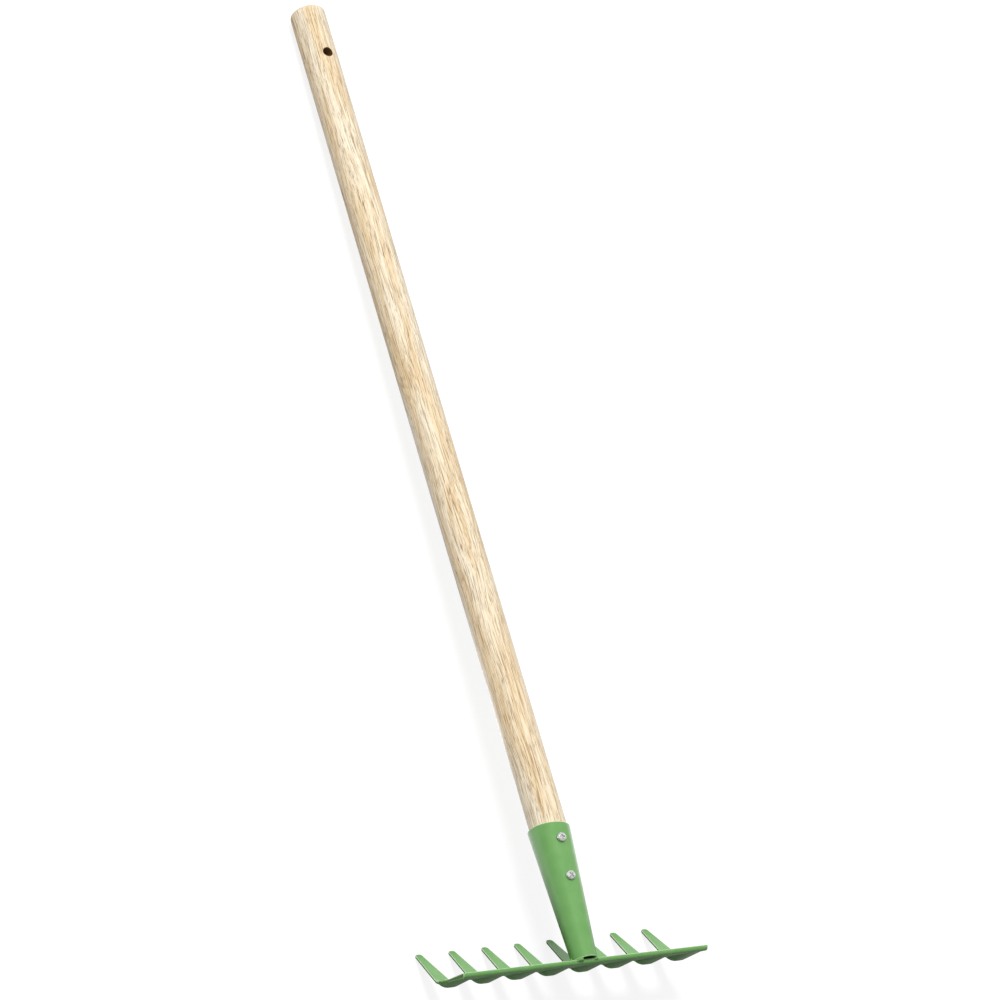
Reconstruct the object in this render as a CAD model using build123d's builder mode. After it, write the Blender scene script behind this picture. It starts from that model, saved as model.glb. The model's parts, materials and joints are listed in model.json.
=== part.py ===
"""Child's garden rake: ash handle, rolled steel socket and a pressed steel comb.

Millimetres, +Z up. The rake lies as it does on a floor, on its tine tips and the
end of its grip, with the grip toward +Y. The origin is on the floor below the
middle of the rake's length.
"""

import os
from math import acos, atan, atan2, cos, degrees, hypot, radians, sin, sqrt, tan

from build123d import *

os.makedirs("parts", exist_ok=True)

# Handle
handle_d = 24.0
handle_reach = 608.0
grip_round = 3.5
hang_hole_d = 7.0
hang_hole_drop = 39.0
taper_length = 72.0

# Sheet steel of the socket and the comb
sheet = 1.5

# Socket
wood_clearance = 0.1
socket_length = 87.3
foot_d = 16.6
foot_shift = 3.2
rim_slant = 5.5
seam_width = 1.6

# Comb, as a side profile: front edge, plate and tines
tine_count = 8
tine_pitch = 24.0
front_edge_height = 3.4
front_edge_bend = 1.6
weld_gap = 0.3
plate_depth = 34.3
plate_rise = 15.5
tine_rise = 51.0
tine_bend = 8.0
tine_length = 34.2

# Comb, as cut flat
tine_root_w = 11.4
tine_tip_w = 4.6
tine_tip_round = 1.9
gap_root_back = 9.3
gap_root_round = 4.5
end_lip_length = 19.5

# Gusset pressed into each tine root
gusset_start = 2.0
gusset_drop = 6.8
gusset_w = 13.0
gusset_bend = 14.0
gusset_round = 5.0

# Screws
screw_head_d = 6.2
screw_head_height = 2.1
screw_head_slope = 0.8
screw_shank_d = 3.5
screw_shank_length = 15.0
screw_clearance = 0.3
screw_drop = 10.1
screw_spacing = 24.8
screw_turn = -3.6
recess_span = 3.4
recess_width = 0.8
recess_depth = 1.1

# Weld at the socket's foot
weld_leg = 0.8
weld_depth = 1.6
weld_reach_in = 1.2
weld_back_height = 2.0
slit_from = -35.0
slit_to = 50.0

# Sizes that follow from those above
handle_r = handle_d / 2
rim_r = handle_r + wood_clearance + sheet
foot_r = foot_d / 2
front_edge_top = -socket_length - weld_gap
corner_z = front_edge_top - front_edge_height + sheet / 2
bend_y = plate_depth
bend_z = corner_z + plate_depth * tan(radians(plate_rise))
plate_half = sheet / 2 / cos(radians(plate_rise))
edge_bend_reach = front_edge_bend * (tan(radians(plate_rise)) + 1 / cos(radians(plate_rise)))
comb_slope = (plate_rise + tine_rise) / 2
half_bend = radians(tine_rise - plate_rise) / 2
tip_out = tine_length * cos(half_bend)
half_width = (tine_count - 1) * tine_pitch / 2 + tine_root_w / 2
tine_places = [(i - (tine_count - 1) / 2) * tine_pitch for i in range(tine_count)]
socket_lean = degrees(atan(foot_shift / socket_length))
socket_taper = (rim_r - foot_r) / hypot(socket_length, foot_shift)
socket_slope = degrees(atan(socket_taper))
taper_lap = handle_d * tan(radians(socket_lean))

# Lowest point of the tine tips and the angle at which the rake lies
tip_half = sheet / 2 / cos(half_bend)
tip_y = bend_y + tine_length * cos(radians(tine_rise)) + tip_half * sin(radians(comb_slope))
tip_z = bend_z + tine_length * sin(radians(tine_rise)) - tip_half * cos(radians(comb_slope))
lie_across = tip_y - handle_r + grip_round
lie_along = handle_reach - grip_round - tip_z
lie = acos(grip_round / hypot(lie_across, lie_along)) - atan2(lie_along, lie_across)

# Ends of the rake along the floor, which set the origin
edge_bend_z = corner_z + edge_bend_reach
grip_end = (handle_reach - grip_round) * cos(lie) + (handle_r - grip_round) * sin(lie) + grip_round
head_end = edge_bend_z * cos(lie) - front_edge_bend * sin(lie) - front_edge_bend - sheet / 2
floor_drop = tip_y * cos(lie) + tip_z * sin(lie)

# Frames: tool is on the handle's axis at the socket's rim, +z toward the grip, +y toward the tines
tool = Plane(
    origin=(0, -(grip_end + head_end) / 2, floor_drop),
    x_dir=(1, 0, 0),
    z_dir=(0, cos(lie), -sin(lie)),
)
side = Plane(tool.origin, x_dir=tool.y_dir, z_dir=tool.x_dir)
socket_frame = Plane(tool.location * Rot(X=socket_lean))
socket_side = Plane(socket_frame.origin, x_dir=socket_frame.y_dir, z_dir=socket_frame.x_dir)
socket_axis = Axis(socket_frame.origin, socket_frame.z_dir)
plate_top = Plane(tool.location * Pos(0, 0, corner_z) * Rot(X=plate_rise)).offset(sheet / 2)
comb_plan = Plane(tool.location * Pos(0, bend_y, bend_z) * Rot(X=comb_slope))


def socket_radius(depth, outside):
    """Radius of the socket's inner or outer cone at a depth below the rim."""
    return rim_r - socket_taper * depth - (0 if outside else sheet)


def screw_frame(drop):
    """Plane on the socket's front surface, facing out, a distance below the rim."""
    out = socket_radius(drop, True)
    return Plane(socket_frame.location * Rot(Z=screw_turn) * Pos(0, -out, -drop) * Rot(X=90 + socket_slope))


screw_frames = [screw_frame(screw_drop), screw_frame(screw_drop + screw_spacing)]


# Round ash handle, tapered to go into the socket
with BuildPart() as handle:
    with BuildSketch(tool.offset(-taper_lap)):
        Circle(handle_r)
    extrude(amount=handle_reach + taper_lap)
    grip_edge = handle.edges().filter_by(GeomType.CIRCLE).sort_by(Axis(tool.origin, tool.z_dir))[-1]
    fillet(grip_edge, grip_round)
    with BuildSketch(socket_side):
        with BuildLine():
            Polyline(
                (0, 0),
                (socket_radius(0, False) - wood_clearance, 0),
                (socket_radius(taper_length, False) - wood_clearance, -taper_length),
                (0, -taper_length),
                close=True,
            )
        make_face()
    revolve(axis=socket_axis)
    with BuildSketch(Plane(tool.location * Pos(0, 0, handle_reach - hang_hole_drop) * Rot(X=90))):
        Circle(hang_hole_d / 2)
    extrude(amount=handle_d, both=True, mode=Mode.SUBTRACT)
    for place in screw_frames:
        with BuildSketch(place):
            Circle(screw_shank_d / 2)
        extrude(amount=-screw_shank_length, mode=Mode.SUBTRACT)

# Socket: a tapering tube rolled from one blank, with its seam open at the back
with BuildPart() as socket:
    rim_spare = rim_r
    foot_spare = socket_length + foot_d
    with BuildSketch(socket_side):
        with BuildLine():
            Polyline(
                (socket_radius(-rim_spare, False), rim_spare),
                (socket_radius(-rim_spare, True), rim_spare),
                (socket_radius(foot_spare, True), -foot_spare),
                (socket_radius(foot_spare, False), -foot_spare),
                close=True,
            )
        make_face()
    revolve(axis=socket_axis)
    split(bisect_by=Plane(tool.location * Rot(Y=rim_slant)), keep=Keep.BOTTOM)
    split(bisect_by=tool.offset(-socket_length), keep=Keep.TOP)
    split(bisect_by=plate_top, keep=Keep.TOP)
    with BuildSketch(tool.offset(rim_spare)):
        with Locations((0, handle_d / 2)):
            Rectangle(seam_width, handle_d)
    extrude(amount=-rim_spare - foot_spare, mode=Mode.SUBTRACT)
    for place in screw_frames:
        with BuildSketch(place):
            Circle(screw_shank_d / 2 + screw_clearance)
        extrude(amount=-handle_r / 2, both=True, mode=Mode.SUBTRACT)

# Comb: one sheet with a turned-up front edge, a plate and tines bent up behind it
front_top = (0, front_edge_top)
front_corner = (0, corner_z)
tine_corner = (bend_y, bend_z)
tine_end = (
    bend_y + 2 * tine_length * cos(radians(tine_rise)),
    bend_z + 2 * tine_length * sin(radians(tine_rise)),
)


def on_tine(along, outward):
    """Point beside a tine's line in the side view, from the bend toward the tip."""
    rise = radians(tine_rise)
    return (
        bend_y + along * cos(rise) + outward * sin(rise),
        bend_z + along * sin(rise) - outward * cos(rise),
    )


def on_plate(across, above):
    """Point above the plate's middle line in the side view, at a distance from the front edge."""
    return (across, corner_z + across * tan(radians(plate_rise)) + above * plate_half)


def crossing(first, first_rise, second, second_rise):
    """Point where two lines of the side view cross."""
    turn = sin(second_rise - first_rise)
    gap = (second[0] - first[0], second[1] - first[1])
    along = (gap[0] * sin(second_rise) - gap[1] * cos(second_rise)) / turn
    return (first[0] + along * cos(first_rise), first[1] + along * sin(first_rise))


# Gusset, outside and inside: the tine's line runs on below the plate and slopes back to it
gusset_foot = on_tine(-gusset_drop, sheet / 2)
gusset_tip = on_plate(gusset_start, -1)
gusset_rise = atan2(gusset_foot[1] - gusset_tip[1], gusset_foot[0] - gusset_tip[0])
floor_in = (gusset_tip[0] - sheet * sin(gusset_rise), gusset_tip[1] + sheet * cos(gusset_rise))
foot_in = crossing(floor_in, gusset_rise, on_tine(0, -sheet / 2), radians(tine_rise))
tip_in = crossing(floor_in, gusset_rise, on_plate(0, 1), radians(plate_rise))

with BuildPart() as gusset_outside:
    with BuildSketch(side):
        with BuildLine():
            FilletPolyline(
                on_plate(gusset_start, gusset_w), gusset_tip, gusset_foot, on_tine(gusset_w, sheet / 2),
                radius=[0, gusset_bend],
            )
            Line(on_tine(gusset_w, sheet / 2), on_plate(gusset_start, gusset_w))
        make_face()
    extrude(amount=gusset_w / 2, both=True)
    fillet(gusset_outside.faces().filter_by(Axis.X).edges().filter_by(GeomType.CIRCLE), gusset_round)
    split(bisect_by=plate_top.offset(-sheet / 2), keep=Keep.BOTTOM)

with BuildPart() as gusset_inside:
    with BuildSketch(side):
        with BuildLine():
            FilletPolyline(
                (tip_in[0], tip_in[1] + gusset_w), tip_in, foot_in, on_tine(gusset_w, -sheet / 2),
                radius=[0, gusset_bend - sheet],
            )
            Line(on_tine(gusset_w, -sheet / 2), (tip_in[0], tip_in[1] + gusset_w))
        make_face()
    extrude(amount=gusset_w / 2 - sheet, both=True)
    # inside, a flat touches the rounding that would keep the sheet's thickness
    inside_flat = (gusset_round - sheet) * (2 - sqrt(2))
    chamfer(gusset_inside.faces().filter_by(Axis.X).edges().filter_by(GeomType.CIRCLE), inside_flat)

with BuildPart() as rake_head:
    with BuildLine(side):
        FilletPolyline(
            front_top, front_corner, tine_corner, tine_end,
            radius=[front_edge_bend, tine_bend],
        )
    with BuildSketch(Plane(tool.location * Pos(0, 0, front_edge_top) * Rot(X=180))):
        Rectangle(2 * half_width, sheet)
    sweep()
    for end in (-1, 1):
        with BuildSketch(side.offset(end * half_width)):
            with BuildLine():
                Polyline(
                    front_top,
                    (0, edge_bend_z),
                    on_plate(edge_bend_reach * cos(radians(plate_rise)), 0),
                    on_plate(end_lip_length, 0),
                    on_plate(end_lip_length, 1),
                    close=True,
                )
            make_face()
        extrude(amount=-end * sheet)
    with Locations([(x, 0, 0) for x in tine_places]):
        add(gusset_outside.part)
        add(gusset_inside.part, mode=Mode.SUBTRACT)
    with BuildSketch(comb_plan):
        with Locations((0, -gap_root_back)):
            Rectangle(2 * half_width, 3 * plate_depth, align=(Align.CENTER, Align.MAX))
        for x in tine_places:
            with BuildLine():
                Polyline(
                    (x - tine_root_w / 2, -gap_root_back),
                    (x - tine_tip_w / 2, tip_out),
                    (x + tine_tip_w / 2, tip_out),
                    (x + tine_root_w / 2, -gap_root_back),
                    close=True,
                )
            make_face()
        tips = vertices().group_by(Axis.Y)[-1]
        roots = vertices().group_by(Axis.Y)[-2].sort_by(Axis.X)[1:-1]
        fillet(tips, tine_tip_round)
        fillet(roots, gap_root_round)
    extrude(amount=2 * plate_depth, both=True, mode=Mode.INTERSECT)

# Weld: a bead laid up against the socket's back, and a fill under its foot, open at the front right
bead_top = socket_length - weld_back_height
bead_foot = socket_length + weld_depth / 2

with BuildPart() as back_bead:
    with BuildSketch(socket_side):
        with BuildLine():
            Polyline(
                (socket_radius(bead_top, True), -bead_top),
                (socket_radius(bead_top, True) + weld_leg, -bead_top),
                (socket_radius(bead_foot, True) + weld_leg, -bead_foot),
                (socket_radius(bead_foot, True), -bead_foot),
                close=True,
            )
        make_face()
    revolve(axis=socket_axis)
    split(bisect_by=Plane(tool.location * Pos(0, foot_shift, 0) * Rot(X=90)), keep=Keep.BOTTOM)

with BuildPart() as socket_weld:
    with BuildSketch(tool.offset(-socket_length)):
        with Locations((0, foot_shift)):
            Circle(foot_r + weld_leg / 2)
            Circle(foot_r - sheet - weld_reach_in, mode=Mode.SUBTRACT)
    extrude(amount=-weld_depth)
    add(back_bead.part)
    split(bisect_by=plate_top, keep=Keep.TOP)
    with BuildSketch(tool.offset(-socket_length)):
        with BuildLine():
            rim = CenterArc((0, foot_shift), foot_d, slit_from - 90, slit_to - slit_from)
            Polyline(rim @ 1, (0, foot_shift), rim @ 0)
        make_face()
    extrude(amount=-weld_depth, mode=Mode.SUBTRACT)
    add(rake_head.part, mode=Mode.SUBTRACT)


def drive_screw(place):
    """Pan-head wood screw with a cross recess, its head on the given plane."""
    with BuildPart() as screw:
        with BuildSketch(place):
            Circle(screw_head_d / 2)
        extrude(amount=screw_head_height)
        top = screw.faces().filter_by(GeomType.PLANE).sort_by(Axis(place.origin, place.z_dir))[-1]
        chamfer(top.edges(), screw_head_slope)
        with BuildSketch(place.offset(screw_head_height)):
            Rectangle(recess_span, recess_width)
            Rectangle(recess_width, recess_span)
        extrude(amount=-recess_depth, mode=Mode.SUBTRACT)
        with BuildSketch(place):
            Circle(screw_shank_d / 2)
        extrude(amount=-screw_shank_length)
    return screw


upper_screw = drive_screw(screw_frames[0])
lower_screw = drive_screw(screw_frames[1])

handle.part.label = "handle"
socket.part.label = "socket"
rake_head.part.label = "rake_head"
socket_weld.part.label = "socket_weld"
upper_screw.part.label = "upper_screw"
lower_screw.part.label = "lower_screw"

export_step(handle.part, "parts/handle.step")
export_step(socket.part, "parts/socket.step")
export_step(rake_head.part, "parts/rake_head.step")
export_step(socket_weld.part, "parts/socket_weld.step")
export_step(upper_screw.part, "parts/upper_screw.step")
export_step(lower_screw.part, "parts/lower_screw.step")
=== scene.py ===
"""Looks of a short garden rake: ash handle, green enamelled steel head and bright zinc screws."""

import json
from math import cos, pi, radians, sin

import bmesh
import bpy
import numpy as np
from bpy.props import FloatProperty, FloatVectorProperty, IntProperty, PointerProperty
from mathutils import Matrix, Vector, noise


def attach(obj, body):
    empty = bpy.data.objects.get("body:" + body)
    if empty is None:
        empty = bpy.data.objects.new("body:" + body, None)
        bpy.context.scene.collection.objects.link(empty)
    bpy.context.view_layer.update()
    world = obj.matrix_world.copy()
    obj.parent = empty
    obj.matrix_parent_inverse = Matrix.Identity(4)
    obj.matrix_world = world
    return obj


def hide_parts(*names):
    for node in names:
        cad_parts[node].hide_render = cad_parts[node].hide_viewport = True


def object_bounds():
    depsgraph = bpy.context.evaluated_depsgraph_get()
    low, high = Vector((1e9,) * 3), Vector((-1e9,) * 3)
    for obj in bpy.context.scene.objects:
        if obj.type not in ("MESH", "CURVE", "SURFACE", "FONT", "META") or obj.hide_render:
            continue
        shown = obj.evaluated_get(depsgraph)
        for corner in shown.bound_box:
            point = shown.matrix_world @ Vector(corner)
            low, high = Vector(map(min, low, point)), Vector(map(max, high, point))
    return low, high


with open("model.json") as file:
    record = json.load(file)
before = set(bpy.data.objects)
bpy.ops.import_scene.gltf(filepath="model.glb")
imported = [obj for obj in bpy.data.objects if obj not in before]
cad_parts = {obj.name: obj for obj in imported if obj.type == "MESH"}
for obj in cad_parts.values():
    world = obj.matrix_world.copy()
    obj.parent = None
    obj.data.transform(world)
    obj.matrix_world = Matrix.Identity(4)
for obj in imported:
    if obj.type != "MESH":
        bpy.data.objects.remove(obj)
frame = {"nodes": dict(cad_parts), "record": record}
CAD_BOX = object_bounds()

bl_info = {
    "name": "Garden rake looks",
    "version": (1, 0, 0),
    "blender": (4, 5, 0),
    "location": "3D View > Sidebar > Rake",
    "description": "Dresses a short garden rake and sets up its studio",
    "category": "Object",
}

MM = 0.001
MOUNTS = {mount["name"]: mount for mount in frame["record"]["mounts"]}
SHAFT_POINT = Vector(MOUNTS["handle_shaft"]["pos_m"])
SHAFT_AXIS = Vector(MOUNTS["handle_shaft"]["axis"]).normalized()
HOLE_POINT = Vector(MOUNTS["hanging_hole"]["pos_m"])
HOLE_AXIS = Vector(MOUNTS["hanging_hole"]["axis"]).normalized()
HOLE_RADIUS = MOUNTS["hanging_hole"]["dims"]["r_mm"] * MM

# meshes: points this close are one, and edges that turn more than these angles are treated as named
JOIN_WITHIN = 0.001 * MM
ROUNDED_TURN = radians(40)
CUT_EDGE_TURN = radians(35)
SHEET_CREASE = radians(50)
SCREW_CREASE = radians(35)

# screws: the head's facets, how steep its sides are, the shank's sides, and the width that shows a head
HEAD_FACETS = 48
HEAD_STEEPNESS = 0.38
SHANK_SIDES = 24
LEAST_HEAD_WIDTH = 0.95

# floor: places from the head toward the grip, with the grey of the light thrown back, painted dark under the
# head as painted shade, and of the painted glint that the gloss sees
FLOOR_FADE = 300 * MM
FLOOR_PAINTED_SHADE = ((0.0, 0.25), (0.04, 0.04), (0.12, 0.06), (0.32, 0.55))
FLOOR_PAINTED_GLINT = ((0.0, 0.1), (0.03, 0.0), (0.10, 0.0), (0.28, 1.5), (0.66, 1.5), (0.90, 0.1))
FLOOR_VEIL = 0.2
FLOOR_GLOW = 0.84

# world: its brighter side, the light at either side, and how much more of it shows in gloss
BRIGHT_SIDE = (0.2, 0.7, 0.35)
WORLD_LEVELS = {"From Min": -0.6, "From Max": 0.5, "To Min": 0.16, "To Max": 0.56}
GLOSS_GAIN = 0.9

WHITE = (1.0, 1.0, 1.0, 1.0)
VECTOR = "ShaderNodeVectorMath"


def hex_colour(text):
    """Linear RGBA of an sRGB hex colour such as "#78A966"."""
    parts = [int(text[i : i + 2], 16) / 255 for i in (1, 3, 5)]
    return [c / 12.92 if c <= 0.04045 else ((c + 0.055) / 1.055) ** 2.4 for c in parts] + [1.0]


def grey(level):
    """A neutral linear colour."""
    return (level, level, level, 1.0)


def length(name, description, millimetres):
    """A length that the panel's user can set."""
    return FloatProperty(name=name, description=description, default=millimetres * MM, unit="LENGTH")


def angle(name, description, degrees):
    """An angle that the panel's user can set."""
    return FloatProperty(name=name, description=description, default=radians(degrees), subtype="ANGLE")


def colour(name, description, text):
    """A colour that the panel's user can set, from an sRGB hex colour."""
    return FloatVectorProperty(
        name=name,
        description=description,
        default=hex_colour(text),
        size=4,
        min=0.0,
        max=1.0,
        subtype="COLOR",
    )


class RakeAsh(bpy.types.PropertyGroup):
    """Sizes and colours of the grain in the ash handle."""

    ring_spacing: length("Ring spacing", "Width of one year's growth", 2.1)
    pith_offset: FloatVectorProperty(
        name="Pith",
        description="Place of the tree's heart beside the handle's axis",
        default=(21 * MM, 30 * MM),
        size=2,
        unit="LENGTH",
    )
    wave_width: length("Wave width", "Width of a slow bend in the grain", 22)
    wave_length: length("Wave length", "Length of a slow bend in the grain", 110)
    wave_sway: length("Wave sway", "How far the grain bends sideways", 9)
    band_width: length("Band width", "Width of a band of warmer wood", 9)
    band_length: length("Band length", "Length of a band of warmer wood", 95)
    streak_width: length("Streak width", "Width of a brown streak along the grain", 0.5)
    streak_length: length("Streak length", "Length of a brown streak along the grain", 30)
    pore_width: length(
        "Pore width",
        "Width of an open pore, drawn coarser than the real 0.3 mm so that it shows",
        0.4,
    )
    pore_length: length("Pore length", "Length of an open pore", 8)
    # the hanging hole's wall, with a thin margin around it, is painted dark brown as painted shade
    hole_shade_margin: length("Hole margin", "Painted shade seen around the hanging hole's wall", 0.15)
    first_wood: colour("First wood", "Wood at the start of a year's growth", "#EFE1C7")
    late_wood: colour("Late wood", "Darkest wood of a year's growth", "#E8D6B7")
    early_wood: colour("Early wood", "Palest wood of a year's growth", "#F4EAD4")
    last_wood: colour("Last wood", "Wood at the end of a year's growth", "#F2E5CC")
    warm_wood: colour("Warm wood", "Warmth of the broad bands, laid over the wood", "#F2E4CC")
    streak_brown: colour("Streak", "Brown of the streaks, laid over the wood", "#9C7A50")
    pore_brown: colour("Pore", "Brown of the open pores, laid over the wood", "#866744")
    hole_painted_shade: colour("Hole", "Painted shade on the wall of the hanging hole", "#8A6844")


class RakeEnamel(bpy.types.PropertyGroup):
    """Sizes and colours of the stoved enamel, and sizes of the weld under it."""

    cloud: length("Cloud", "Width of one patch of thicker enamel", 9)
    peel: length("Orange peel", "Width of one ripple in the enamel", 1.8)
    edge_round: length("Edge rounding", "Radius that the enamel gives to the edges of the sheet", 0.4)
    bead_mesh: length("Weld mesh", "Width of one face of the weld", 0.2)
    bead_ripple: length("Weld ripple", "Width of one lump in the weld", 1.7)
    bead_height: length("Weld lump", "Height of the lumps in the weld", 0.35)
    deep_green: colour("Deep green", "Enamel where the coat is thick", "#629A4F")
    light_green: colour("Light green", "Enamel where the coat is thin", "#6CA259")
    # pale cut edges: a painted highlight, partly the enamel drawn thin over them
    edge_highlight_green: colour("Edge highlight", "Painted highlight and thin enamel on a cut edge", "#B4D2A6")


class RakeScrew(bpy.types.PropertyGroup):
    """Sizes and colours of the two wood screws."""

    head_height: length("Head height", "Height of the rounded head", 2.1)
    recess_span: length("Recess span", "Length of each arm of the cross recess, end to end", 3.4)
    recess_width: length("Recess width", "Width of each arm of the cross recess", 0.8)
    recess_depth: length("Recess depth", "Depth of the cross recess", 1.1)
    shank_diameter: length("Shank diameter", "Diameter of the shank inside the wood", 3.5)
    twist_seed: IntProperty(
        name="Twist seed",
        description="Picks the turn at which each screw stopped",
        default=4,
    )
    crystal: length("Crystal", "Crystal of the plating, drawn far coarser than real so that it shows", 0.5)
    dull_zinc: colour("Dull zinc", "Darkest crystals of the plating", "#949A98")
    bright_zinc: colour("Bright zinc", "Brightest crystals of the plating", "#F4F5F2")


class RakeStage(bpy.types.PropertyGroup):
    """Camera, lamps and floor of the studio."""

    aim: FloatVectorProperty(
        name="Aim",
        description="Point that the camera looks at",
        default=(0.02544, -0.03410, 0.05435),
        subtype="TRANSLATION",
    )
    azimuth: angle("Azimuth", "Camera's heading from +Y toward +X", 58.168)
    elevation: angle("Elevation", "Camera's look down", 52.785)
    roll: angle("Roll", "Camera's turn about its line of sight", 49.178)
    distance: length("Distance", "From the camera to its aim", 2770.7)
    lens: FloatProperty(
        name="Lens",
        description="Focal length on a 36 mm sensor, in mm",
        default=153.62,
    )
    lamp_side: FloatVectorProperty(
        name="Lamp side",
        description="Direction of both lamps, seen from the rake",
        default=(-0.20, 0.27, 0.94),
        subtype="DIRECTION",
    )
    lamp_distance: length("Lamp distance", "From the lamps to the rake", 5000)
    key_size: length("Key size", "Diameter of the lamp that gives shade and shadow", 1500)
    key_level: FloatProperty(
        name="Key level",
        description="Light that the key lamp gives a white surface facing it",
        default=0.84,
    )
    sheen_size: length("Sheen size", "Diameter of the lamp that gives the sheen", 2000)
    sheen_level: FloatProperty(
        name="Sheen level",
        description="Level of the lamp that gives the sheen",
        default=0.11,
    )
    floor_reach: length("Floor reach", "From the middle of the floor to its sides", 8000)


def add_node(tree, kind, values=None, links=None, **settings):
    """Adds a node with its settings, its socket values and the links that come into it."""
    made = tree.nodes.new(kind)
    for name, value in settings.items():
        setattr(made, name, value)
    for socket, value in (values or {}).items():
        made.inputs[socket].default_value = value
    for socket, sources in (links or {}).items():
        for source in sources if isinstance(sources, list) else [sources]:
            tree.links.new(source, made.inputs[socket])
    return made


def maths(tree, operation, *terms, kind="ShaderNodeMath", result=0):
    """The result of a sum whose terms are values or other nodes' sockets."""
    links = {i: term for i, term in enumerate(terms) if isinstance(term, bpy.types.NodeSocket)}
    values = {i: term for i, term in enumerate(terms) if i not in links}
    return add_node(tree, kind, values, links, operation=operation).outputs[result]


def ramp(tree, value, stops):
    """The colour at a value, from pairs of place and linear colour."""
    made = add_node(tree, "ShaderNodeValToRGB", links={0: value})
    elements = made.color_ramp.elements
    while len(elements) < len(stops):
        elements.new(1.0)
    for element, (place, shade) in zip(elements, stops):
        element.position = place
        element.color = shade
    return made.outputs["Color"]


def drawn_noise(tree, spot, width, reach, **values):
    """Noise drawn out along the handle."""
    drawn = add_node(
        tree,
        "ShaderNodeMapping",
        values={"Scale": (1 / width, 1 / width, 1 / reach)},
        links={"Vector": spot},
    )
    return add_node(
        tree,
        "ShaderNodeTexNoise",
        values={"Scale": 1.0, **values},
        links={"Vector": drawn.outputs[0]},
    )


def in_gloss(tree, rays):
    """One for rays that come by way of a glossy or clear surface, else nought."""
    return maths(tree, "MAXIMUM", rays.outputs["Is Glossy Ray"], rays.outputs["Is Transmission Ray"])


def new_material(name):
    """An empty material and its node tree."""
    material = bpy.data.materials.new(name)
    material.use_nodes = True
    material.node_tree.nodes.clear()
    return material, material.node_tree


def close_material(tree, shader):
    """Sends a shader to the material's output."""
    add_node(tree, "ShaderNodeOutputMaterial", links={"Surface": shader.outputs[0]})


def dress(node, material):
    """Gives a node of the frame one finish."""
    slots = frame["nodes"][node].data.materials
    slots.clear()
    slots.append(material)


def new_piece(name, mesh, replaced):
    """A piece that rides on the rake and stands for some of its nodes."""
    piece = bpy.data.objects.new(name, mesh)
    bpy.context.scene.collection.objects.link(piece)
    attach(piece, "root")
    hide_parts(*replaced)


def plain_mesh(piece):
    """The piece's mesh with its modifiers worked in, as a new mesh."""
    evaluated = piece.evaluated_get(bpy.context.evaluated_depsgraph_get())
    return bpy.data.meshes.new_from_object(evaluated)


def drop_slivers(shell):
    """Closes up the edges without length and faces without area that a cut or a rounding leaves."""
    bmesh.ops.remove_doubles(shell, verts=shell.verts, dist=JOIN_WITHIN)
    bmesh.ops.dissolve_degenerate(shell, edges=shell.edges, dist=JOIN_WITHIN)


def fix_order(shell):
    """Puts points, edges and faces in one order, because a rounding's order changes from run to run."""
    keys = (
        (shell.verts, lambda point: tuple(point.co)),
        (shell.edges, lambda edge: sorted(point.index for point in edge.verts)),
        (shell.faces, lambda face: sorted(point.index for point in face.verts)),
    )
    for parts, key in keys:
        ranks = {part: rank for rank, part in enumerate(sorted(parts, key=key))}
        parts.sort(key=ranks.get)
        parts.index_update()


def merged_mesh(node, name, radius=0.0):
    """A copy of a node's mesh, joined, with outer edges rounded and the sheet's cut edges marked on_edge."""
    shell = bmesh.new()
    shell.from_mesh(frame["nodes"][node].data)
    on_edge = shell.faces.layers.float.new("on_edge")
    bmesh.ops.remove_doubles(shell, verts=shell.verts, dist=JOIN_WITHIN)
    if radius:
        sharp = [edge for edge in shell.edges if edge.calc_face_angle_signed() > ROUNDED_TURN]
        rounding = bmesh.ops.bevel(
            shell,
            geom=sharp,
            offset=radius,
            offset_type="OFFSET",
            affect="EDGES",
            segments=2,
            profile=0.5,
        )
        rounded = set(rounding["faces"])
        # the two strips of a rounding meet at half its turn, which is largest on a cut edge
        # faces on a cut edge are marked on_edge, where the enamel paints a pale highlight
        for edge in {edge for face in rounded for edge in face.edges}:
            if rounded.issuperset(edge.link_faces) and edge.calc_face_angle() > CUT_EDGE_TURN:
                for face in edge.link_faces:
                    face[on_edge] = 1.0
        drop_slivers(shell)
        fix_order(shell)
    mesh = bpy.data.meshes.new(name)
    shell.to_mesh(mesh)
    shell.free()
    return mesh


def even_shading(mesh):
    """The mesh, shaded smooth with its large flat faces kept flat."""
    draft = bpy.data.objects.new("shading_draft", mesh)
    bpy.context.scene.collection.objects.link(draft)
    mesh.shade_smooth()
    mesh.set_sharp_from_angle(angle=SHEET_CREASE)
    weigh = draft.modifiers.new("weigh_normals", "WEIGHTED_NORMAL")
    weigh.keep_sharp = True
    shaded = plain_mesh(draft)
    bpy.data.objects.remove(draft)
    return shaded


def turned_frame(node):
    """Top, axis, largest radius and length of a turned piece, from the spread of its face normals."""
    mesh = frame["nodes"][node].data
    mesh.calc_loop_triangles()
    corners = np.array([[mesh.vertices[i].co for i in face.vertices] for face in mesh.loop_triangles])
    doubled = np.cross(corners[:, 1] - corners[:, 0], corners[:, 2] - corners[:, 0])
    area = np.linalg.norm(doubled, axis=1)
    spread, ways = np.linalg.eigh((doubled / area[:, None]).T @ doubled)
    # about an axis the spread is the same in two directions, so the third is the axis
    lone = 0 if spread[1] - spread[0] > spread[2] - spread[1] else 2
    axis = ways[:, lone]
    centre = (corners.mean(axis=1) * area[:, None]).sum(axis=0) / area.sum()
    points = corners.reshape(-1, 3) - centre
    along = points @ axis
    out = np.linalg.norm(np.cross(points, axis), axis=1)
    # the widest part is the head, and the axis points to it
    if along[out > 0.9 * out.max()].mean() < 0:
        axis, along = -axis, -along
    return Vector(centre + axis * along.max()), Vector(axis), out.max(), along.max() - along.min()


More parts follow.
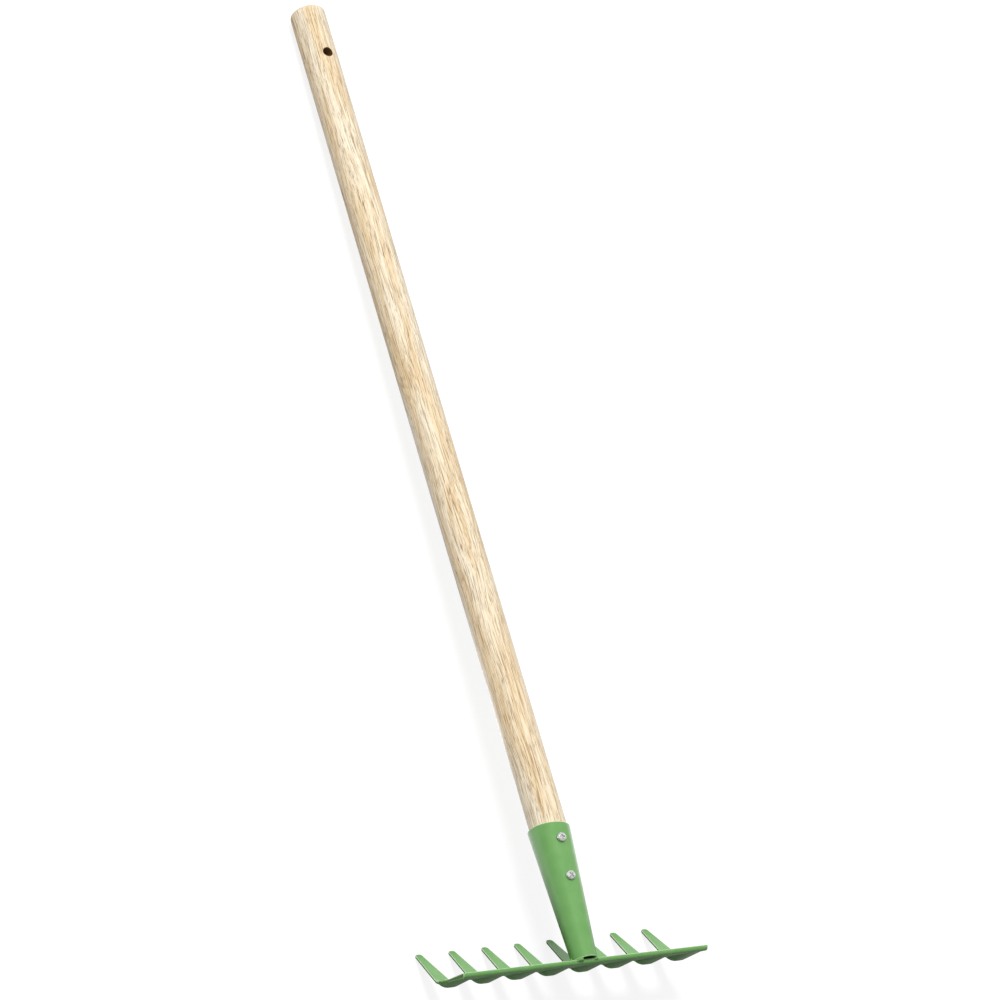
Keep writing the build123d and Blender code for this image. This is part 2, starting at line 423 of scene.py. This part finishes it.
def ash_material(look):
    """Ash, turned and oiled: warm straw with fine brown streaks, pore dashes and a patchy satin gloss."""
    material, tree = new_material("ash_turned_and_oiled")
    turn = pi / 2 + SHAFT_AXIS.angle(Vector((0, 1, 0)))
    to_handle = Matrix.Rotation(turn, 3, "X")
    place = add_node(tree, "ShaderNodeTexCoord").outputs["Object"]
    grain = add_node(
        tree,
        "ShaderNodeMapping",
        values={"Location": -(to_handle @ SHAFT_POINT), "Rotation": (turn, 0, 0)},
        links={"Vector": place},
    ).outputs[0]

    # slow waves bend the grain, so that it runs out of the handle at a slight slant
    wave = drawn_noise(tree, grain, look.wave_width, look.wave_length, Detail=1.0)
    centred = maths(tree, "SUBTRACT", wave.outputs["Color"], (0.5, 0.5, 0.5), kind=VECTOR)
    sway = (look.wave_sway, look.wave_sway, 0)
    bent = maths(tree, "MULTIPLY_ADD", centred, sway, grain, kind=VECTOR)

    # rings lie around the pith, each with its dark late wood
    parts = add_node(tree, "ShaderNodeSeparateXYZ", links={0: bent}).outputs
    across = maths(tree, "SUBTRACT", parts[0], look.pith_offset[0])
    deep = maths(tree, "SUBTRACT", parts[1], look.pith_offset[1])
    flat = add_node(tree, "ShaderNodeCombineXYZ", links={0: across, 1: deep}).outputs[0]
    radius = maths(tree, "LENGTH", flat, kind=VECTOR, result="Value")
    year = maths(tree, "FRACT", maths(tree, "DIVIDE", radius, look.ring_spacing))
    wood = ramp(
        tree,
        year,
        [(0.0, look.first_wood), (0.14, look.late_wood), (0.5, look.early_wood), (1.0, look.last_wood)],
    )

    # broad warm bands, brown streaks and open pores lie along the grain
    band = drawn_noise(tree, bent, look.band_width, look.band_length, Detail=2.0)
    streak = drawn_noise(tree, bent, look.streak_width, look.streak_length, Detail=3.0, Roughness=0.6)
    pore = drawn_noise(tree, bent, look.pore_width, look.pore_length, Detail=3.0)
    warm = ramp(tree, band.outputs[0], [(0.38, look.warm_wood), (0.62, WHITE)])
    brown = ramp(tree, streak.outputs[0], [(0.30, look.streak_brown), (0.50, WHITE)])
    dash = ramp(tree, pore.outputs[0], [(0.28, look.pore_brown), (0.46, WHITE)])
    for layer, share in ((warm, 0.8), (brown, 0.9), (dash, 0.8)):
        wood = add_node(
            tree,
            "ShaderNodeMix",
            values={"Factor": share},
            links={"A": wood, "B": layer},
            data_type="RGBA",
            blend_type="MULTIPLY",
        ).outputs["Result"]

    # the wall of the hanging hole is painted dark brown: painted shade in the hole
    beside = maths(tree, "SUBTRACT", place, HOLE_POINT, kind=VECTOR)
    off_axis = maths(tree, "CROSS_PRODUCT", beside, HOLE_AXIS, kind=VECTOR)
    off = maths(tree, "LENGTH", off_axis, kind=VECTOR, result="Value")
    in_hole = maths(tree, "LESS_THAN", off, HOLE_RADIUS + look.hole_shade_margin)
    seen = add_node(
        tree,
        "ShaderNodeMix",
        values={"B": look.hole_painted_shade},
        links={"Factor": in_hole, "A": wood},
        data_type="RGBA",
    )

    # oil sinks in unevenly, so the gloss comes and goes
    gloss = add_node(
        tree,
        "ShaderNodeMapRange",
        values={"From Min": 0.4, "From Max": 0.65, "To Min": 0.0, "To Max": 1.0},
        links={"Value": wave.outputs[0]},
    )
    bump = add_node(
        tree,
        "ShaderNodeBump",
        values={"Strength": 0.25, "Distance": 0.08 * MM},
        links={"Height": dash},
    )
    shader = add_node(
        tree,
        "ShaderNodeBsdfPrincipled",
        values={"Roughness": 0.5, "Specular IOR Level": 0.15, "Coat Roughness": 0.26},
        links={
            "Base Color": seen.outputs["Result"],
            "Coat Weight": gloss.outputs[0],
            "Normal": bump.outputs[0],
        },
    )
    close_material(tree, shader)
    return material


def enamel_material(look):
    """Green enamel, sprayed and stoved on steel: an even mid green with a soft gloss and a faint ripple."""
    material, tree = new_material("green_enamel_stoved")
    place = add_node(tree, "ShaderNodeTexCoord").outputs["Object"]
    cloud = add_node(
        tree,
        "ShaderNodeTexNoise",
        values={"Scale": 1 / look.cloud, "Detail": 4.0},
        links={"Vector": place},
    )
    green = ramp(tree, cloud.outputs[0], [(0.3, look.deep_green), (0.7, look.light_green)])
    # the cut edges of the sheet are painted pale: a painted highlight, and partly the coat drawn thin over
    # them
    edge = add_node(tree, "ShaderNodeAttribute", attribute_name="on_edge")
    coat = add_node(
        tree,
        "ShaderNodeMix",
        values={"B": look.edge_highlight_green},
        links={"Factor": edge.outputs["Fac"], "A": green},
        data_type="RGBA",
    )
    ripple = add_node(
        tree,
        "ShaderNodeTexNoise",
        values={"Scale": 1 / look.peel, "Detail": 1.0},
        links={"Vector": place},
    )
    bump = add_node(
        tree,
        "ShaderNodeBump",
        values={"Strength": 0.12, "Distance": 0.05 * MM},
        links={"Height": ripple.outputs[0]},
    )
    shader = add_node(
        tree,
        "ShaderNodeBsdfPrincipled",
        values={"Roughness": 0.36, "IOR": 1.6},
        links={"Base Color": coat.outputs["Result"], "Normal": bump.outputs[0]},
    )
    close_material(tree, shader)
    return material


def zinc_material(look):
    """Zinc, electroplated on the screws: bright and neutral, with the crystals' uneven gloss."""
    material, tree = new_material("zinc_electroplated")
    place = add_node(tree, "ShaderNodeTexCoord")
    crystal = add_node(
        tree,
        "ShaderNodeTexVoronoi",
        values={"Scale": 1 / look.crystal},
        links={"Vector": place.outputs["Object"]},
    )
    gloss = add_node(
        tree,
        "ShaderNodeMapRange",
        values={"To Min": 0.12, "To Max": 0.28},
        links={"Value": crystal.outputs["Color"]},
    )
    bump = add_node(
        tree,
        "ShaderNodeBump",
        values={"Strength": 0.5, "Distance": 0.06 * MM},
        links={"Height": crystal.outputs["Distance"]},
    )
    tint = ramp(tree, crystal.outputs["Color"], [(0.0, look.dull_zinc), (1.0, look.bright_zinc)])
    shader = add_node(
        tree,
        "ShaderNodeBsdfPrincipled",
        values={"Metallic": 1.0},
        links={"Base Color": tint, "Roughness": gloss.outputs[0], "Normal": bump.outputs[0]},
    )
    close_material(tree, shader)
    return material


def floor_material():
    """Matt white paper sweep: white to the eye, with the object's soft shadow kept; in thrown-back light and
    reflections it carries a painted shade under the head and a painted glint behind it.
    """
    material, tree = new_material("paper_sweep_painted_shade_glint")
    rays = add_node(tree, "ShaderNodeLightPath")
    spot = add_node(tree, "ShaderNodeTexCoord")
    along = add_node(tree, "ShaderNodeSeparateXYZ", links={0: spot.outputs["Object"]})
    front = CAD_BOX[0][1]
    behind = add_node(
        tree,
        "ShaderNodeMapRange",
        values={"From Min": front, "From Max": front + FLOOR_FADE},
        links={"Value": along.outputs["Y"]},
    ).outputs[0]
    # the floor sends little light up from under the head, which keeps the underside deep: a painted shadow
    # on the floor under the head
    painted_shade_ramp = ramp(tree, behind, [(place, grey(level)) for place, level in FLOOR_PAINTED_SHADE])
    bounce = add_node(tree, "ShaderNodeBsdfDiffuse", links={"Color": painted_shade_ramp})
    # in the enamel's gloss it is white behind the head and dark under it: a painted glint glowing behind the
    # head, and painted shade under it
    painted_glint_ramp = ramp(tree, behind, [(place, grey(level)) for place, level in FLOOR_PAINTED_GLINT])
    painted_glint_glow = add_node(tree, "ShaderNodeEmission", values={"Strength": 1.0}, links={"Color": painted_glint_ramp})
    lit = add_node(tree, "ShaderNodeAddShader", links={0: bounce.outputs[0], 1: painted_glint_glow.outputs[0]})
    # the eye sees white, with a thin veil that takes the shadow
    veil = add_node(tree, "ShaderNodeBsdfDiffuse", values={"Color": grey(FLOOR_VEIL)})
    glow = add_node(tree, "ShaderNodeEmission", values={"Color": WHITE, "Strength": FLOOR_GLOW})
    seen = add_node(tree, "ShaderNodeAddShader", links={0: veil.outputs[0], 1: glow.outputs[0]})
    unseen = add_node(
        tree,
        "ShaderNodeMixShader",
        links={0: in_gloss(tree, rays), 1: bounce.outputs[0], 2: lit.outputs[0]},
    )
    mix = add_node(
        tree,
        "ShaderNodeMixShader",
        links={0: rays.outputs["Is Camera Ray"], 1: unseen.outputs[0], 2: seen.outputs[0]},
    )
    close_material(tree, mix)
    return material


class RAKE_OT_handle(bpy.types.Operator):
    """Finish the ash handle"""

    bl_idname = "rake.handle"
    bl_label = "Handle"

    def execute(self, context):
        dress("handle", ash_material(context.scene.rake_ash))
        return {"FINISHED"}


class RAKE_OT_head(bpy.types.Operator):
    """Round the edges of the head and the socket under their enamel"""

    bl_idname = "rake.head"
    bl_label = "Head and socket"

    def execute(self, context):
        look = context.scene.rake_enamel
        enamel = enamel_material(look)
        for node, name in (("rake_head", "enamelled_head"), ("socket", "enamelled_socket")):
            mesh = even_shading(merged_mesh(node, name, look.edge_round))
            mesh.materials.append(enamel)
            new_piece(name, mesh, [node])
        return {"FINISHED"}


class RAKE_OT_weld(bpy.types.Operator):
    """Give the weld its lumps"""

    bl_idname = "rake.weld"
    bl_label = "Weld"

    def execute(self, context):
        look = context.scene.rake_enamel
        draft = bpy.data.objects.new("weld_draft", merged_mesh("socket_weld", "weld_draft"))
        context.scene.collection.objects.link(draft)
        remesh = draft.modifiers.new("even_mesh", "REMESH")
        remesh.mode = "VOXEL"
        remesh.voxel_size = look.bead_mesh
        soften = draft.modifiers.new("soften", "SMOOTH")
        soften.iterations = 8
        mesh = plain_mesh(draft)
        bpy.data.objects.remove(draft)
        for point in mesh.vertices:
            lump = 0.5 + noise.noise(point.co / look.bead_ripple)
            point.co += point.normal * look.bead_height * lump
        mesh.shade_smooth()
        mesh.materials.append(bpy.data.materials["green_enamel_stoved"])
        new_piece("enamelled_weld", mesh, ["socket_weld"])
        return {"FINISHED"}


SCREW_INPUTS = {
    "Head diameter": "NodeSocketFloat",
    "Head height": "NodeSocketFloat",
    "Recess span": "NodeSocketFloat",
    "Recess width": "NodeSocketFloat",
    "Recess depth": "NodeSocketFloat",
    "Shank diameter": "NodeSocketFloat",
    "Shank length": "NodeSocketFloat",
    "First seat": "NodeSocketVector",
    "Step": "NodeSocketVector",
    "Turn": "NodeSocketRotation",
    "Twist seed": "NodeSocketInt",
}


def screw_tree(zinc):
    """Geometry nodes of like screws in a row: rounded head, cross recess and shank."""
    tree = bpy.data.node_groups.new("screw_row", "GeometryNodeTree")
    for name, kind in SCREW_INPUTS.items():
        tree.interface.new_socket(name, in_out="INPUT", socket_type=kind)
    tree.interface.new_socket("Geometry", in_out="OUTPUT", socket_type="NodeSocketGeometry")
    size = add_node(tree, "NodeGroupInput").outputs

    # head: the upper half of a ball, spread to the head's size, with steep sides and a flat seat
    ball = add_node(
        tree,
        "GeometryNodeMeshUVSphere",
        values={"Segments": HEAD_FACETS, "Rings": HEAD_FACETS, "Radius": 1.0},
    )
    where = add_node(tree, "GeometryNodeInputPosition")
    spot = add_node(tree, "ShaderNodeSeparateXYZ", links={0: where.outputs[0]}).outputs
    half = maths(tree, "MULTIPLY", size["Head diameter"], 0.5)
    steep = maths(tree, "POWER", maths(tree, "MAXIMUM", spot[2], 0.0), HEAD_STEEPNESS)
    shaped = add_node(
        tree,
        "ShaderNodeCombineXYZ",
        links={
            0: maths(tree, "MULTIPLY", spot[0], half),
            1: maths(tree, "MULTIPLY", spot[1], half),
            2: maths(tree, "MULTIPLY", steep, size["Head height"]),
        },
    )
    head = add_node(
        tree,
        "GeometryNodeSetPosition",
        links={"Geometry": ball.outputs["Mesh"], "Position": shaped.outputs[0]},
    )

    # recess: two bars cut into the top of the head; at some sizes the default solver loses the head
    sunk = maths(tree, "MULTIPLY", size["Recess depth"], 2.0)
    top = add_node(tree, "ShaderNodeCombineXYZ", links={2: size["Head height"]})
    bars = []
    for first, second in (("Recess span", "Recess width"), ("Recess width", "Recess span")):
        block = add_node(tree, "ShaderNodeCombineXYZ", links={0: size[first], 1: size[second], 2: sunk})
        bar = add_node(tree, "GeometryNodeMeshCube", links={"Size": block.outputs[0]})
        raised = add_node(
            tree,
            "GeometryNodeTransform",
            links={"Geometry": bar.outputs["Mesh"], "Translation": top.outputs[0]},
        )
        bars.append(raised.outputs[0])
    cut = add_node(
        tree,
        "GeometryNodeMeshBoolean",
        links={"Mesh 1": head.outputs[0], "Mesh 2": bars},
        operation="DIFFERENCE",
        solver="EXACT",
    )

    # shank, hidden in the wood
    down = maths(tree, "MULTIPLY", size["Shank length"], -0.5)
    below = add_node(tree, "ShaderNodeCombineXYZ", links={2: down})
    rod = add_node(
        tree,
        "GeometryNodeMeshCylinder",
        values={"Vertices": SHANK_SIDES},
        links={
            "Radius": maths(tree, "MULTIPLY", size["Shank diameter"], 0.5),
            "Depth": size["Shank length"],
        },
    )
    shank = add_node(
        tree,
        "GeometryNodeTransform",
        links={"Geometry": rod.outputs["Mesh"], "Translation": below.outputs[0]},
    )
    screw = add_node(tree, "GeometryNodeJoinGeometry", links={0: [cut.outputs[0], shank.outputs[0]]})

    # two seats in a row, each screw stopped at its own twist
    row = add_node(
        tree,
        "GeometryNodeMeshLine",
        values={"Count": 2},
        links={"Start Location": size["First seat"], "Offset": size["Step"]},
    )
    chance = add_node(
        tree,
        "FunctionNodeRandomValue",
        values={"Max": pi / 2},
        links={"Seed": size["Twist seed"]},
        data_type="FLOAT",
    )
    spin = add_node(tree, "ShaderNodeCombineXYZ", links={2: chance.outputs["Value"]})
    twist = add_node(tree, "FunctionNodeEulerToRotation", links={0: spin.outputs[0]})
    stopped = add_node(
        tree,
        "FunctionNodeRotateRotation",
        links={"Rotation": size["Turn"], "Rotate By": twist.outputs[0]},
        rotation_space="LOCAL",
    )
    placed = add_node(
        tree,
        "GeometryNodeInstanceOnPoints",
        links={"Points": row.outputs[0], "Instance": screw.outputs[0], "Rotation": stopped.outputs[0]},
    )
    real = add_node(tree, "GeometryNodeRealizeInstances", links={0: placed.outputs[0]})
    plated = add_node(
        tree,
        "GeometryNodeSetMaterial",
        values={"Material": zinc},
        links={"Geometry": real.outputs[0]},
    )
    add_node(tree, "NodeGroupOutput", links={0: plated.outputs[0]})
    return tree


class RAKE_OT_screws(bpy.types.Operator):
    """Make the two screws with their cross recesses"""

    bl_idname = "rake.screws"
    bl_label = "Screws"

    def execute(self, context):
        look = context.scene.rake_screw
        top, axis, radius, reach = turned_frame("upper_screw")
        lower_top = turned_frame("lower_screw")[0]
        sizes = {
            "Head diameter": 2 * radius,
            "Head height": look.head_height,
            "Recess span": look.recess_span,
            "Recess width": look.recess_width,
            "Recess depth": look.recess_depth,
            "Shank diameter": look.shank_diameter,
            "Shank length": reach - look.head_height,
            "First seat": top - axis * look.head_height,
            "Step": lower_top - top,
            "Turn": axis.to_track_quat("Z", "Y").to_euler(),
            "Twist seed": look.twist_seed,
        }
        tree = screw_tree(zinc_material(look))
        draft = bpy.data.objects.new("screw_draft", bpy.data.meshes.new("screw_draft"))
        context.scene.collection.objects.link(draft)
        modifier = draft.modifiers.new("screw_row", "NODES")
        modifier.node_group = tree
        for item in tree.interface.items_tree:
            if item.in_out == "INPUT":
                modifier[item.identifier] = sizes[item.name]
        mesh = plain_mesh(draft)
        bpy.data.objects.remove(draft)
        shell = bmesh.new()
        shell.from_mesh(mesh)
        drop_slivers(shell)
        across = [vertex.co.x for vertex in shell.verts]
        if not across or max(across) - min(across) < LEAST_HEAD_WIDTH * 2 * radius:
            raise RuntimeError("the screws came out without their heads")
        shell.to_mesh(mesh)
        shell.free()
        mesh.name = "zinc_screws"
        mesh.shade_smooth()
        mesh.set_sharp_from_angle(angle=SCREW_CREASE)
        new_piece("zinc_screws", mesh, ["upper_screw", "lower_screw"])
        return {"FINISHED"}


def lamp(name, direction, distance, size, level):
    """A softbox that lights a white surface facing it to the given level."""
    light = bpy.data.lights.new(name, "AREA")
    light.shape = "DISK"
    light.size = size
    light.energy = level * pi * pi * distance**2
    box = bpy.data.objects.new(name, light)
    toward = Vector(direction).normalized()
    box.location = toward * distance
    box.rotation_euler = toward.to_track_quat("Z", "Y").to_euler()
    bpy.context.scene.collection.objects.link(box)
    return box


def studio_world():
    """White to the eye and in reflections; its light is dimmer from the head's end of the floor."""
    world = bpy.data.worlds.new("studio")
    world.use_nodes = True
    tree = world.node_tree
    tree.nodes.clear()
    rays = add_node(tree, "ShaderNodeLightPath")
    way = add_node(tree, "ShaderNodeTexCoord").outputs["Generated"]
    toward_grip = maths(tree, "DOT_PRODUCT", way, BRIGHT_SIDE, kind=VECTOR, result="Value")
    level = add_node(tree, "ShaderNodeMapRange", values=WORLD_LEVELS, links={"Value": toward_grip})
    gain = maths(tree, "MULTIPLY_ADD", in_gloss(tree, rays), GLOSS_GAIN, 1.0)
    around = add_node(
        tree,
        "ShaderNodeBackground",
        values={"Color": WHITE},
        links={"Strength": maths(tree, "MULTIPLY", level.outputs[0], gain)},
    )
    white = add_node(tree, "ShaderNodeBackground", values={"Color": WHITE, "Strength": 1.0})
    mix = add_node(
        tree,
        "ShaderNodeMixShader",
        links={0: rays.outputs["Is Camera Ray"], 1: around.outputs[0], 2: white.outputs[0]},
    )
    add_node(tree, "ShaderNodeOutputWorld", links={"Surface": mix.outputs[0]})
    return world


def studio_camera(look):
    """A camera that stands where the stage's angles put it."""
    flat = cos(look.elevation)
    away = Vector((sin(look.azimuth) * flat, cos(look.azimuth) * flat, -sin(look.elevation)))
    level = away.cross(Vector((0, 0, 1))).normalized()
    upright = level.cross(away)
    right = cos(look.roll) * level + sin(look.roll) * upright
    up = cos(look.roll) * upright - sin(look.roll) * level
    data = bpy.data.cameras.new("camera")
    data.lens = look.lens
    data.sensor_width = 36.0
    camera = bpy.data.objects.new("camera", data)
    turn = Matrix((right, up, -away)).transposed().to_4x4()
    camera.matrix_world = Matrix.Translation(Vector(look.aim) - look.distance * away) @ turn
    bpy.context.scene.collection.objects.link(camera)
    return camera


class RAKE_OT_stage(bpy.types.Operator):
    """Set up the floor, lamps, world and camera"""

    bl_idname = "rake.stage"
    bl_label = "Stage"

    def execute(self, context):
        scene = context.scene
        look = scene.rake_stage
        half = look.floor_reach
        mesh = bpy.data.meshes.new("floor")
        corners = [(-half, -half, 0), (half, -half, 0), (half, half, 0), (-half, half, 0)]
        mesh.from_pydata(corners, [], [(0, 1, 2, 3)])
        mesh.materials.append(floor_material())
        floor = bpy.data.objects.new("floor", mesh)
        scene.collection.objects.link(floor)

        # the key gives shade and shadow, and a second lamp at its place sets how much sheen it leaves
        place = (look.lamp_side, look.lamp_distance)
        lamp("key_softbox", *place, look.key_size, look.key_level).visible_glossy = False
        lamp("sheen_softbox", *place, look.sheen_size, look.sheen_level).visible_diffuse = False

        scene.world = studio_world()
        scene.view_settings.view_transform = "Standard"
        scene.camera = studio_camera(look)
        return {"FINISHED"}


class RAKE_PT_panel(bpy.types.Panel):
    """Steps that dress the rake"""

    bl_idname = "RAKE_PT_panel"
    bl_label = "Garden rake"
    bl_space_type = "VIEW_3D"
    bl_region_type = "UI"
    bl_category = "Rake"

    def draw(self, context):
        for step in STEPS:
            self.layout.operator(step.bl_idname)


GROUPS = {"rake_ash": RakeAsh, "rake_enamel": RakeEnamel, "rake_screw": RakeScrew, "rake_stage": RakeStage}
STEPS = (RAKE_OT_handle, RAKE_OT_head, RAKE_OT_weld, RAKE_OT_screws, RAKE_OT_stage)


def register():
    for cls in (*GROUPS.values(), *STEPS, RAKE_PT_panel):
        bpy.utils.register_class(cls)
    for name, group in GROUPS.items():
        setattr(bpy.types.Scene, name, PointerProperty(type=group))


def unregister():
    for name in GROUPS:
        delattr(bpy.types.Scene, name)
    for cls in reversed((*GROUPS.values(), *STEPS, RAKE_PT_panel)):
        bpy.utils.unregister_class(cls)


def main():
    register()
    bpy.ops.rake.handle()
    bpy.ops.rake.head()
    bpy.ops.rake.weld()
    bpy.ops.rake.screws()
    bpy.ops.rake.stage()


if __name__ == "__main__":
    main()
